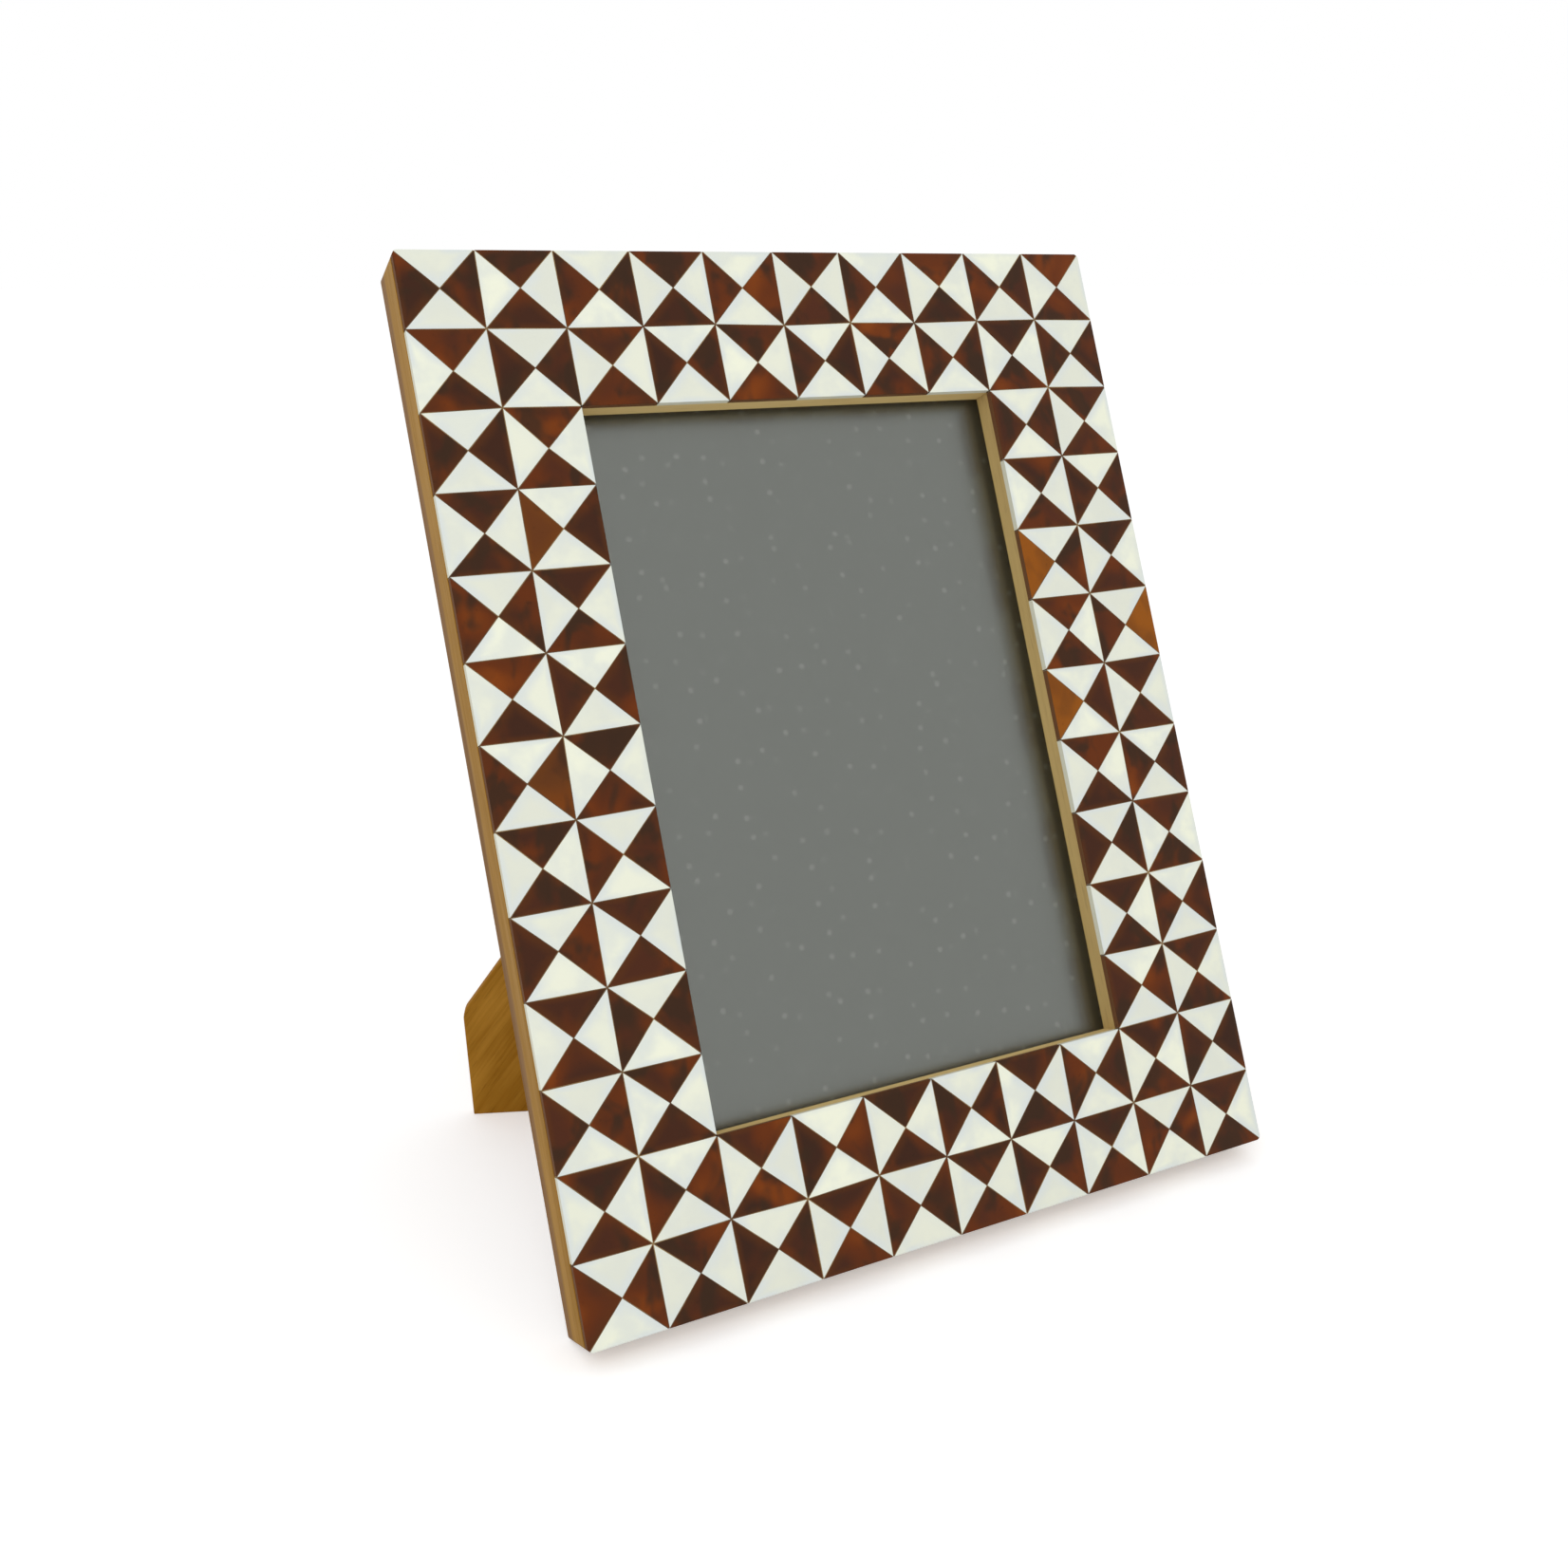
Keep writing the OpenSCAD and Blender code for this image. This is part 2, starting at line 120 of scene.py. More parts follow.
class Finish:
    """A material, with its nodes added one at a time."""

    def __init__(self, name):
        self.material = bpy.data.materials.new(name)
        self.material.use_nodes = True
        self.tree = self.material.node_tree
        self.surface = self.tree.nodes["Principled BSDF"]

    def add(self, kind, **settings):
        """A new node. A setting is an option of the node, or else feeds its socket."""
        node = self.tree.nodes.new("ShaderNode" + kind)
        for key, value in settings.items():
            if hasattr(node, key):
                setattr(node, key, value)
            else:
                self.feed(node.inputs[key.replace("_", " ")], value)
        return node

    def feed(self, socket, value):
        """Gives a socket a plain value, an output, or the first output of a node."""
        if isinstance(value, bpy.types.NodeSocket):
            self.tree.links.new(value, socket)
        elif isinstance(value, bpy.types.Node):
            self.tree.links.new(value.outputs[0], socket)
        else:
            socket.default_value = value

    def coat(self, **settings):
        """Feeds the sockets of the surface itself."""
        for key, value in settings.items():
            self.feed(self.surface.inputs[key.replace("_", " ")], value)

    def place(self, turned, per_m=1):
        """Object coordinates, turned into a piece's own axes and then stretched."""
        origin = self.add("TexCoord").outputs["Object"]
        own = self.add("Mapping", Vector=origin)
        own.inputs["Location"].default_value = turned.translation
        own.inputs["Rotation"].default_value = turned.to_euler()
        return self.stretch(own, per_m)

    def stretch(self, source, per_m):
        """Makes a pattern so fine: marks in a metre, the same each way or for each axis."""
        each_way = per_m if isinstance(per_m, tuple) else (per_m,) * 3
        return self.add("Mapping", Vector=source, Scale=each_way)

    def carried(self, name, output="Fac"):
        """What the mesh carries under a name."""
        return self.add("Attribute", attribute_name=name).outputs[output]

    def noise(self, source, detail=3, roughness=0.55, distortion=0):
        return self.add("TexNoise", Vector=source, Scale=1, Detail=detail, Roughness=roughness,
                        Distortion=distortion)

    def ramp(self, factor, low, high, start=0, end=1):
        """Goes softly from start to end while the factor goes from low to high."""
        return self.add("MapRange", Value=factor, From_Min=low, From_Max=high, To_Min=start,
                        To_Max=end, interpolation_type="SMOOTHSTEP")

    def blend(self, factor, first, second):
        """Goes from the first colour to the second."""
        node = self.add("Mix", data_type="RGBA")
        for socket, value in ((0, factor), (6, first), (7, second)):
            if isinstance(value, tuple):
                value = (*value, 1)
            self.feed(node.inputs[socket], value)
        return node.outputs[2]

    def reckon(self, operation, first, second):
        node = self.add("Math", operation=operation)
        self.feed(node.inputs[0], first)
        self.feed(node.inputs[1], second)
        return node

    def times(self, first, second):
        return self.reckon("MULTIPLY", first, second)

    def plus(self, first, second):
        return self.reckon("ADD", first, second)

    def bump(self, height, distance, strength=1):
        self.coat(Normal=self.add("Bump", Height=height, Distance=distance, Strength=strength))


def wood(name, to_grain, pale, deep, contrast, gloss, shine, rear_colour=None,
         bands_per_m=(7, 130, 90), cloudy=0.25):
    """Wood with its grain along x of to_grain. A rear colour, if given, shows towards the back."""
    finish = Finish(name)
    fibres_per_m, pores_per_m, clouds_per_m = (35, 1100, 900), (110, 2600, 2000), (18, 45, 45)
    band_share, fibre_share, pore_share, rear_share = 0.6, 0.4, 0.35, 0.6
    pore_shade, rear_darkening = 0.45, 0.7
    fade, fade_wander = 1.8 * mm, 1.2 * mm
    bands = finish.ramp(finish.noise(finish.place(to_grain, bands_per_m), 4, 0.6, 0.4), 0.33, 0.68)
    fibres = finish.ramp(finish.noise(finish.place(to_grain, fibres_per_m), 2, 0.6), 0.35, 0.7)
    pores = finish.ramp(finish.noise(finish.place(to_grain, pores_per_m), 1), 0.64, 0.74)
    clouds = finish.ramp(finish.noise(finish.place(to_grain, clouds_per_m), 2), 0.3, 0.7)
    figure = finish.plus(finish.times(bands, band_share), finish.times(fibres, fibre_share))
    in_pores = tuple(c * pore_shade for c in deep)
    colour = finish.blend(finish.times(figure, contrast), pale, deep)
    colour = finish.blend(finish.times(clouds, cloudy), colour, deep)
    colour = finish.blend(finish.times(pores, pore_share), colour, in_pores)
    # from 10 mm behind the face the colour turns greyer and darker
    if rear_colour:
        rear_deep = tuple(c * rear_darkening for c in rear_colour)
        depth = finish.add("SeparateXYZ", Vector=finish.place(upright)).outputs[1]
        wandering = finish.plus(depth, finish.times(clouds, fade_wander))
        rear = finish.ramp(wandering, rear_from - mm, rear_from + fade)
        rear_figured = finish.blend(finish.times(figure, rear_share), rear_colour, rear_deep)
        colour = finish.blend(rear, colour, rear_figured)
    finish.coat(Base_Color=colour, Roughness=finish.ramp(figure, 0, 1, gloss - 0.05, gloss + 0.08),
                Specular_IOR_Level=shine)
    finish.bump(finish.plus(fibres, finish.times(pores, -1.5)), 0.03 * mm, 0.6)
    return finish.material


grain_up = Matrix.Rotation(math.radians(90), 4, "Y") @ upright
outside = dict(pale=(0.415, 0.217, 0.028), deep=(0.285, 0.136, 0.015), contrast=0.75,
               gloss=0.5, shine=0.1, rear_colour=(0.245, 0.116, 0.028))
inside = dict(contrast=0.6, gloss=0.6, shine=0.1)
# the opening's walls get lighter copies of the wood, painted light; the level rails' copy is the
# lightest, as painted light on the top wall, which faces down into shade
rail_wood = (wood("oiled_hardwood_level", upright, **outside),
             wood("hardwood_wall_painted_light_level", upright, (0.730, 0.545, 0.240), (0.610, 0.430, 0.165),
                  **inside))
stile_wood = (wood("oiled_hardwood_upright", grain_up, **outside),
              wood("hardwood_wall_painted_light_upright", grain_up, (0.560, 0.400, 0.163), (0.455, 0.308, 0.110),
                   **inside))

for name, length, place, turn, (oiled, painted_light_wall) in (
        ("bottom_rail", face_w, (0, 0, 0), 0, rail_wood),
        ("top_rail", face_w, (0, 0, face_h), math.pi, rail_wood),
        ("left_stile", face_h, (-face_w / 2, 0, face_h / 2), math.pi / 2, stile_wood),
        ("right_stile", face_h, (face_w / 2, 0, face_h / 2), -math.pi / 2, stile_wood)):
    rail = bmesh.new()
    section = [(rail_front, 0), (rail_back, 0), (rail_back, band_w - rebate_w),
               (lip_depth, band_w - rebate_w), (lip_depth, band_w), (rail_front, band_w)]
    end = rail.faces.new([rail.verts.new((-length / 2, y, z)) for y, z in section])
    pull(rail, [end], (length, 0, 0))
    arris = [e for e in rail.edges
             if all(v.co.y > rail_back - touching and v.co.z < touching for v in e.verts)]
    ease(rail, arris, arris_r, arris_steps)
    # the mitre, and this rail's half of the rounded corner
    for side in (-1, 1):
        slice_off(rail, (side * length / 2, 0, 0), (side, 0, 1))
        close_up(rail)
        centre = Vector((side * (length / 2 - corner_r), 0, corner_r))
        for facet in range(corner_facets // 2, corner_facets):
            angle = facet_angle(facet)
            outwards = Vector((side * math.cos(angle), 0, -math.sin(angle)))
            slice_off(rail, centre + corner_r * outwards, outwards)
            close_up(rail)
    bmesh.ops.recalc_face_normals(rail, faces=rail.faces)
    for face in rail.faces:
        # the faces of the opening's walls take the lighter copy, which is painted light
        face.material_index = 1 if face.calc_center_median().z > band_w - touching else 0
    ease(rail, sharp_edges(rail), rail_edge, 2)
    stands = Matrix.Translation(place) @ Matrix.Rotation(turn, 4, "Y")
    bmesh.ops.transform(rail, matrix=leaning_back @ stands, verts=rail.verts)
    rail = piece_from("frame_" + name, rail, oiled)
    rail.data.materials.append(painted_light_wall)
    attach(rail, "frame")
    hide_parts(name)

# The corner nails. A bent strip of steel is pressed in from behind across each mitre, and
# holds it while the glue sets. It stands a hair proud of the wood.
nail_leg, nail_t, nail_depth, nail_inset = 6 * mm, 0.5 * mm, 6 * mm, 15 * mm
nail_proud, nail_edge = 0.08 * mm, 0.06 * mm


def metal(name, colour, worn, rough, scratches_per_m):
    """Brushed metal, a little tarnished in clouds."""
    finish = Finish(name)
    tarnish_per_m, tarnish_dulls, brush_dulls = 420, 0.12, 0.06
    tarnish = finish.ramp(finish.noise(finish.place(upright, tarnish_per_m), 4), 0.42, 0.72)
    brushed = finish.noise(finish.place(upright, scratches_per_m), 2, 0.7)
    scratched = finish.ramp(brushed, 0.3, 0.7, rough - brush_dulls, rough + brush_dulls)
    finish.coat(Base_Color=finish.blend(tarnish, colour, worn), Metallic=1,
                Roughness=finish.plus(scratched, finish.times(tarnish, tarnish_dulls)))
    finish.bump(brushed, 0.008 * mm, 0.5)
    return finish.material


steel = metal("bright_steel", (0.52, 0.52, 0.50), (0.36, 0.34, 0.31), 0.32, (5000, 5000, 400))
nails = bmesh.new()
for side in (-1, 1):
    for level in (0, 1):
        nail = bmesh.new()
        legs = [(0, 0), (nail_leg, 0), (nail_leg, nail_t), (nail_t, nail_t), (nail_t, nail_leg),
                (0, nail_leg)]
        bend = nail.faces.new([nail.verts.new((x, rail_back - nail_depth, z)) for x, z in legs])
        pull(nail, [bend], (0, nail_depth + nail_proud, 0))
        ease(nail, sharp_edges(nail), nail_edge, 1)
        bmesh.ops.translate(nail, verts=nail.verts, vec=(nail_inset - face_w / 2, 0, nail_inset))
        to_corner = Matrix.Translation((0, 0, level * face_h)) @ Matrix.Diagonal(
            (-side, 1, 1 - 2 * level, 1))
        bmesh.ops.transform(nail, verts=nail.verts, matrix=to_corner)
        bmesh.ops.recalc_face_normals(nail, faces=nail.faces)
        one = bpy.data.meshes.new("nail")
        nail.to_mesh(one)
        nail.free()
        nails.from_mesh(one)
        bpy.data.meshes.remove(one)
bmesh.ops.transform(nails, matrix=leaning_back, verts=nails.verts)
nails = piece_from("mitre_nails", nails, steel)
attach(nails, "frame")
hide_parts("corner_nails")

# The filler. A brown resin paste spread over the face, into which the tiles are pressed. It
# comes up between them in hairlines, just below their polished faces.
filler_front, filler_in = 0.03 * mm, 0.3 * mm
umber, ochre, grimy = (0.120, 0.062, 0.028), (0.360, 0.235, 0.095), (0.075, 0.038, 0.018)
grit_per_m, stains_per_m = 900, 70

paste = Finish("brown_filler")
grit = paste.noise(paste.place(upright, grit_per_m), 3)
stain = paste.ramp(paste.noise(paste.place(upright, stains_per_m), 3), 0.35, 0.65)
stained = paste.blend(stain, umber, ochre)
paste.coat(Base_Color=paste.blend(paste.times(grit, 0.5), stained, grimy), Roughness=0.6,
           Specular_IOR_Level=0.2)
paste.bump(grit, 0.02 * mm, 0.6)


def round_corners(shape):
    """Trims a flat shape to the frame's rounded outline."""
    for side in (-1, 1):
        for level, edge in ((-1, 0), (1, face_h)):
            centre = Vector((side * (face_w / 2 - corner_r), 0, edge - level * corner_r))
            for facet in range(corner_facets):
                angle = facet_angle(facet)
                outwards = Vector((side * math.cos(angle), 0, level * math.sin(angle)))
                slice_off(shape, centre + corner_r * outwards, outwards)


def grid_over(columns, rows, width, height, depth):
    """A flat grid centred on the frame, at a depth behind its face."""
    grid = bmesh.new()
    bmesh.ops.create_grid(grid, x_segments=columns, y_segments=rows, size=0.5)
    to_face = Matrix.Translation((0, depth, face_h / 2)) @ Matrix.Rotation(math.pi / 2, 4, "X")
    bmesh.ops.transform(grid, verts=grid.verts,
                        matrix=to_face @ Matrix.Diagonal((width, height, 1, 1)))
    return grid


filler = grid_over(1, 1, face_w - 2 * filler_in, face_h - 2 * filler_in, filler_front)
whole = filler.faces[:]
bmesh.ops.inset_individual(filler, faces=whole, thickness=band_w - 2 * filler_in,
                           use_even_offset=True)
bmesh.ops.delete(filler, geom=whole, context="FACES")
round_corners(filler)
bmesh.ops.solidify(filler, geom=filler.faces[:], thickness=rail_front - filler_front)
foremost = min(v.co.y for v in filler.verts)
bmesh.ops.translate(filler, verts=filler.verts, vec=(0, filler_front - foremost, 0))
bmesh.ops.transform(filler, matrix=leaning_back, verts=filler.verts)
filler = piece_from("tile_filler", filler, paste.material)
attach(filler, "frame")
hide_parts("inlay_bed")

# The tiles. Each cell is four triangles of resin 1.5 mm thick, cream and dark in turn,
# polished on the face and dull on the sawn sides. They are cut and laid by hand, so their
# points don't quite meet, and each is cut from another place in its sheet.
joint, stray, nick = 0.15 * mm, 0.3 * mm, 0.03 * mm
edge_in, tile_edge, near = 0.175 * mm, 0.07 * mm, 1 * mm
open_w, open_h = face_w - 2 * band_w, face_h - 2 * band_w
polished, sawn_rough = 0.22, 0.7
faces_front, faces_aside = 0.99, 0.1
amber_tiles = {(8, 4, 3): 0.9, (9, 5, 1): 1, (8, 6, 3): 0.95, (1, 3, 3): 0.35, (0, 6, 1): 0.3}
chance = random.Random(11)


def cream_resin():
    """Pale resin with faint clouds, cooler towards the rim of a tile."""
    resin = Finish("cream_resin")
    white, milky, ivory = (0.930, 0.950, 0.770), (0.800, 0.835, 0.745), (0.765, 0.785, 0.680)
    cool_rim, dull = (0.730, 0.780, 0.764), (0.700, 0.690, 0.560)
    clouds_per_m, cool_per_m = 85, 90
    rim, tone, sawn = (resin.carried(name) for name in ("rim", "tone", "sawn"))
    clouds = resin.noise(resin.place(upright, clouds_per_m), 3, 0.55)
    cool = resin.ramp(resin.noise(resin.place(upright, cool_per_m), 1), 0.40, 0.6, 0.2, 0.9)
    colour = resin.blend(resin.ramp(clouds, 0.40, 0.62), white, milky)
    colour = resin.blend(resin.times(tone, 0.85), colour, ivory)
    colour = resin.blend(resin.times(resin.ramp(rim, 0.35, 1), cool), colour, cool_rim)
    resin.coat(Base_Color=resin.blend(sawn, colour, dull),
               Roughness=resin.ramp(sawn, 0, 1, polished, sawn_rough), Specular_IOR_Level=0.3)
    resin.bump(clouds, 0.03 * mm, 0.5)
    return resin.material


def dark_resin():
    """Brown resin with a red glow in it under smoky clouds, clearer where it is amber."""
    resin = Finish("dark_resin")
    brown, russet, warm_rim = (0.040, 0.016, 0.0105), (0.078, 0.022, 0.011), (0.100, 0.030, 0.008)
    red, orange, honey = (0.126, 0.028, 0.007), (0.290, 0.064, 0.006), (0.300, 0.089, 0.008)
    smoky, sooty, dull = (0.036, 0.019, 0.0115), (0.020, 0.010, 0.006), (0.150, 0.068, 0.030)
    glow_per_m, smoke_per_m, flecks_per_m = (75, 75, 65), (120, 120, 95), 800
    rim, tone, amber, sawn = (resin.carried(name) for name in ("rim", "tone", "amber", "sawn"))
    shifted = resin.add("VectorMath", operation="ADD")
    resin.feed(shifted.inputs[0], resin.place(upright))
    resin.feed(shifted.inputs[1], resin.carried("shift", "Vector"))
    glow = resin.noise(resin.stretch(shifted, glow_per_m), 1, 0.5, 0.3)
    smoke = resin.noise(resin.stretch(shifted, smoke_per_m), 2, 0.5, 0.4)
    flecks = resin.noise(resin.stretch(shifted, flecks_per_m), 2)
    glowing = resin.ramp(resin.plus(glow, resin.times(tone, 0.1)), 0.50, 0.72)
    smokiness = resin.ramp(amber, 0, 1, 0.85, 0.2)
    colour = resin.blend(tone, brown, russet)
    colour = resin.blend(resin.times(resin.ramp(rim, 0.4, 1), 0.6), colour, warm_rim)
    colour = resin.blend(glowing, colour, red)
    colour = resin.blend(resin.times(resin.ramp(glow, 0.62, 0.80), 0.55), colour, orange)
    colour = resin.blend(resin.times(amber, resin.ramp(glow, 0.25, 0.6, 0.6, 1)), colour, honey)
    colour = resin.blend(resin.times(resin.ramp(smoke, 0.47, 0.64), smokiness), colour, smoky)
    colour = resin.blend(resin.times(resin.ramp(flecks, 0.62, 0.8), 0.25), colour, sooty)
    resin.coat(Base_Color=resin.blend(sawn, colour, dull),
               Roughness=resin.ramp(sawn, 0, 1, polished, sawn_rough), Specular_IOR_Level=0.16,
               Specular_Tint=(1, 0.62, 0.4, 1))
    resin.bump(smoke, 0.02 * mm, 0.5)
    return resin.material


lattice = grid_over(across, up, face_w, face_h, rail_front)
bmesh.ops.delete(lattice, context="FACES", geom=[
    f for f in lattice.faces if abs(f.calc_center_median().x) < open_w / 2
    and abs(f.calc_center_median().z - face_h / 2) < open_h / 2])
bmesh.ops.poke(lattice, faces=lattice.faces[:])


def nudge(corner, most):
    """Moves a tile's corner a little, but never off the frame's own edges."""
    x, z = corner.co.x, corner.co.z - face_h / 2
    beside = abs(z) < open_h / 2 + near and abs(abs(x) - open_w / 2) < near
    above = abs(x) < open_w / 2 + near and abs(abs(z) - open_h / 2) < near
    if not beside and abs(x) < face_w / 2 - near:
        corner.co.x += chance.uniform(-most, most)
    if not above and abs(z) < face_h / 2 - near:
        corner.co.z += chance.uniform(-most, most)
    return beside, above


for corner in lattice.verts:
    x, z = corner.co.x, corner.co.z - face_h / 2
    beside, above = nudge(corner, stray)
    # set back from the outer edges as in the CAD, and half a joint over the opening's edges,
    # both before the joints take half a joint off every side
    if abs(x) > face_w / 2 - near:
        corner.co.x -= math.copysign(edge_in - joint / 2, x)
    elif beside:
        corner.co.x -= math.copysign(joint / 2, x)
    if abs(z) > face_h / 2 - near:
        corner.co.z -= math.copysign(edge_in - joint / 2, z)
    elif above:
        corner.co.z -= math.copysign(joint / 2, z)
joints = bmesh.ops.inset_individual(lattice, faces=lattice.faces[:], thickness=joint / 2,
                                    use_even_offset=True)
bmesh.ops.delete(lattice, geom=joints["faces"], context="FACES")
for corner in lattice.verts:
    nudge(corner, nick)
round_corners(lattice)


def where(tile):
    """A tile's column from the left, row from the top, and quarter: bottom, right, top, left."""
    middle = tile.calc_center_median()
    along, down = (middle.x + face_w / 2) / cell, (face_h - middle.z) / cell
    column, row = int(along), int(down)
    along, down = along - column - 0.5, down - row - 0.5
    if abs(down) > abs(along):
        return column, row, 0 if down > 0 else 2
    return column, row, 1 if along > 0 else 3


tone = lattice.faces.layers.float.new("tone")
amber = lattice.faces.layers.float.new("amber")
shift = lattice.faces.layers.float_vector.new("shift")
lattice.verts.layers.float.new("rim")
lattice.faces.sort()
for tile in lattice.faces:
    tile[tone] = chance.random()
    tile[amber] = amber_tiles.get(where(tile), 0)
    tile[shift] = [chance.uniform(-1, 1) for axis in range(3)]


def side_of(tile):
    """Which rail a tile lies on. The top and bottom rails take whole rows."""
    column, row, quarter = where(tile)
    if row < band_cells:
        return "top"
    if row >= up - band_cells:
        return "bottom"
    return "left" if column < band_cells else "right"


resins = (("cream", 0, cream_resin()), ("dark", 1, dark_resin()))
for side in ("top", "bottom", "left", "right"):
    for shade, odd, resin in resins:
        tiles = lattice.copy()
        bmesh.ops.delete(tiles, context="FACES", geom=[
            f for f in tiles.faces if side_of(f) != side or sum(where(f)) % 2 != odd])
        # the bed under a tile is never seen, so the tile is drawn from the wood to the face
        pull(tiles, tiles.faces[:], (0, -rail_front, 0))
        face_edges = [e for e in tiles.edges if all(v.co.y < touching for v in e.verts)]
        ease(tiles, face_edges, tile_edge, 2)
        rim = tiles.verts.layers.float["rim"]
        for corner in tiles.verts:
            corner[rim] = 1
        fronts = [f for f in tiles.faces
                  if abs(f.normal.y) > faces_front and f.calc_center_median().y < touching]
        for middle in bmesh.ops.poke(tiles, faces=fronts)["verts"]:
            middle[rim] = 0
        sawn = tiles.faces.layers.float.new("sawn")
        for face in tiles.faces:
            face[sawn] = 1 if abs(face.normal.y) < faces_aside else 0
        bmesh.ops.transform(tiles, matrix=leaning_back, verts=tiles.verts)
        tiles = piece_from(f"{side}_{shade}_inlay", tiles, resin)
        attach(tiles, "frame")
        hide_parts(f"{side}_{shade}_tiles")
lattice.free()

# The glass. A cut pane of 2 mm sheet with seamed edges, which lies in the rebate against the
# lip. Its faces mirror the room a little, softly, as those of non-reflecting glass do.
glass_t, glass_edge, film = 2 * mm, 0.2 * mm, 0.06 * mm
mirrors_least, mirror_steepness, haze = 0.06, 5, 0.25

glass = Finish("clear_glass")
facing = glass.add("LayerWeight", Blend=0.5).outputs["Facing"]
mirrored = glass.plus(glass.reckon("POWER", facing, mirror_steepness), mirrors_least)
clear = glass.add("BsdfTransparent", Color=(0.985, 0.99, 0.985, 1))
gloss = glass.add("BsdfGlossy", Color=(0.97, 1, 0.94, 1), Roughness=haze)
pane_face = glass.add("MixShader", Fac=mirrored)
for socket, shader in ((1, clear), (2, gloss)):
    glass.feed(pane_face.inputs[socket], shader)
glass.feed(glass.tree.nodes["Material Output"].inputs["Surface"], pane_face)
glass.tree.nodes.remove(glass.surface)


def sheet(node, edge, segments):
    """A copy of the shape of a CAD node, with its edges eased."""
    shape = bmesh.new()
    shape.from_mesh(frame["nodes"][node].data)
    bmesh.ops.remove_doubles(shape, verts=shape.verts, dist=touching)
    bmesh.ops.dissolve_limit(shape, angle_limit=math.radians(1), verts=shape.verts,
                             edges=shape.edges)
    ease(shape, sharp_edges(shape), edge, segments)
    return shape


# a film of air behind the pane, because two faces in one plane would show as stripes
pane = sheet("glass_pane", glass_edge, 2)
bmesh.ops.scale(pane, verts=pane.verts, vec=(1, 1 - film / glass_t, 1),
                space=Matrix.Translation((0, -lip_depth, 0)) @ upright)
pane = piece_from("window_glass", pane, glass.material)
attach(pane, "frame")
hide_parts("glass_pane")

# The insert. A plain near-black sheet with a smooth satin face, which fills the opening. It
# mirrors the room softly through the glass, so it looks grey, and pale dust clings to it.
insert_edge = 0.04 * mm
pulp_per_m, specks_per_m = 600, 130
speck_core, speck_rim = 0.03, 0.155
faintest, clearest = 0.035, 0.11

paper = Finish("dark_paper")
pulp = paper.noise(paper.place(upright, pulp_per_m), 4, 0.6)
flat_on = Matrix.Rotation(math.radians(90), 4, "X") @ upright
scattered = paper.add("TexVoronoi", Vector=paper.place(flat_on, specks_per_m),
                      voronoi_dimensions="2D", Scale=1)
each = paper.add("SeparateColor", Color=scattered.outputs["Color"])
bright = paper.ramp(each, 0.1, 0.9, faintest, clearest)
dust = paper.times(paper.ramp(scattered.outputs["Distance"], speck_core, speck_rim, 1, 0), bright)
colour = paper.blend(paper.ramp(pulp, 0.3, 0.7), (0.018, 0.019, 0.0165), (0.021, 0.022, 0.0185))
paper.coat(Base_Color=paper.blend(dust, colour, (0.700, 0.700, 0.660)), Roughness=0.28, IOR=1.5,
           Specular_IOR_Level=1, Specular_Tint=(0.95, 1, 0.93, 1))
insert = piece_from("plain_insert", sheet("picture_insert", insert_edge, 1), paper.material)
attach(insert, "frame")
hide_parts("picture_insert")

# The card. A sheet of grey-brown millboard, 1.1 mm thick and cut to fit the rebate. It
# presses the insert flat against the glass.
card_edge, flock_per_m = 0.1 * mm, 350

millboard = Finish("millboard")
pulp = millboard.noise(millboard.place(upright, flock_per_m), 5, 0.65)
mottled = millboard.blend(millboard.ramp(pulp, 0.35, 0.65), (0.50, 0.42, 0.28), (0.38, 0.30, 0.19))
millboard.coat(Base_Color=mottled, Roughness=0.9)
millboard.bump(pulp, 0.05 * mm, 0.7)
card = piece_from("backing_millboard", sheet("backing_card", card_edge, 1), millboard.material)
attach(card, "frame")
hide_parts("backing_card")

# The back panel. A piece of brown fibreboard, sawn to fit the rebate and sanded at its
# edges. The strut's hinge is screwed to it, and the turn buttons hold it in.
panel_edge = 0.35 * mm
fibres_per_m, mottles_per_m = (260, 260, 900), 60

board = Finish("brown_fibreboard")
fibres = board.noise(board.place(upright, fibres_per_m), 6, 0.7, 0.6)
mottle = board.noise(board.place(upright, mottles_per_m), 3)
colour = board.blend(board.ramp(fibres, 0.35, 0.68), (0.250, 0.140, 0.064), (0.150, 0.080, 0.036))
colour = board.blend(board.times(board.ramp(mottle, 0.4, 0.7), 0.35), colour, (0.285, 0.165, 0.085))
board.coat(Base_Color=colour, Roughness=0.72, Specular_IOR_Level=0.3)
board.bump(fibres, 0.05 * mm, 0.7)
panel = piece_from("rear_board", sheet("back_panel", panel_edge, 3), board.material)
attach(panel, "frame")
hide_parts("back_panel")

# The hinge's fixed leaf. A brass plated leaf of 0.9 mm, its three knuckles rolled round
# the pin, held to the back panel by two slotted screws. The steel pin is pressed in.
leaf_edge, leaf_screw_edge = 0.10 * mm, 0.07 * mm

brass = metal("brass_plate", (0.66, 0.47, 0.19), (0.42, 0.27, 0.10), 0.30, (4500, 4500, 350))
for node, name, edge, finish, slot in (
        ("hinge_fixed_leaf", "fixed_hinge_leaf", leaf_edge, brass, "brass"),
        ("hinge_pin", "hinge_wire", leaf_edge, steel, "steel"),
        ("fixed_leaf_screws", "panel_hinge_screws", leaf_screw_edge, brass, "brass")):
    part = piece_from(name, sheet(node, edge, 2), finish)
    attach(part, "frame")
    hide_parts(node)

